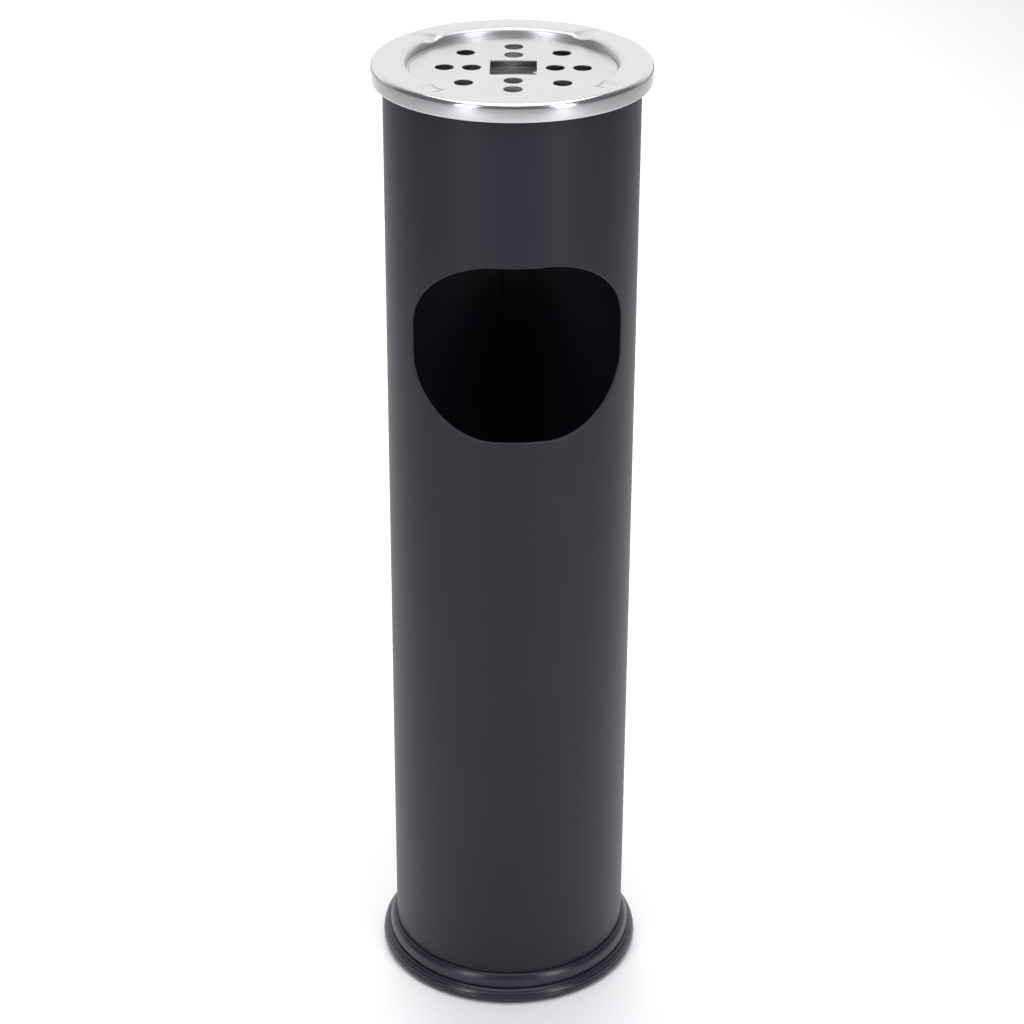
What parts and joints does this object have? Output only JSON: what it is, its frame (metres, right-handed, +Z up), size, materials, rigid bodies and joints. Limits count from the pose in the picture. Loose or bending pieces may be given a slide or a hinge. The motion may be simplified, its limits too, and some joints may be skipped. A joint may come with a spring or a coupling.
{
  "type": "ashtray bin",
  "caption": "Slim standing ashtray bin: a dark tube with a front waste opening, a lift-off steel ash dish with a perforated grate, and a lift-out pail with a bail inside.",
  "frame": {"origin": "on the floor, under the centre of the tube", "axes": "+Z up along the tube, -Y out of the waste opening, +X to the right of a person who faces the opening"},
  "size_m": [0.168, 0.168, 0.608],
  "materials": {
    "powder_coat": "matte powder coat, dark anthracite",
    "moulding": "satin moulded plastic, near black",
    "foot_rubber": "smooth satin rubber, near black",
    "stainless": "polished stainless steel",
    "grate_steel": "bright satin stainless steel",
    "galvanised": "galvanised sheet",
    "wire_steel": "zinc-plated wire and rivets"
  },
  "bodies": {
    "cabinet": {"body_tube": "powder_coat", "bottom_pan": "powder_coat", "base_plinth": "moulding", "foot_ring": "foot_rubber"},
    "dish": {"ash_dish": "stainless"},
    "grate": {"grate": "grate_steel"},
    "liner": {"liner_shell": "galvanised", "liner_floor": "galvanised", "ear_left": "galvanised", "ear_right": "galvanised", "ear_rivets": "wire_steel"},
    "bail": {"bail_handle": "wire_steel"}
  },
  "joints": [
    {"name": "ashtray_lift", "type": "slide", "parent": "cabinet", "child": "dish", "axis": [0, 0, 1], "range_m": [0, 0.15]},
    {"name": "grate_lift", "type": "slide", "parent": "dish", "child": "grate", "axis": [0, 0, 1], "range_m": [0, 0.06]},
    {"name": "liner_lift", "type": "slide", "parent": "cabinet", "child": "liner", "axis": [0, 0, 1], "range_m": [0, 0.19]},
    {"name": "bail_swing", "type": "hinge", "parent": "liner", "child": "bail", "pos_m": [0, 0, 0.31005], "axis": [1, 0, 0], "range_deg": [0, 180]}
  ]
}
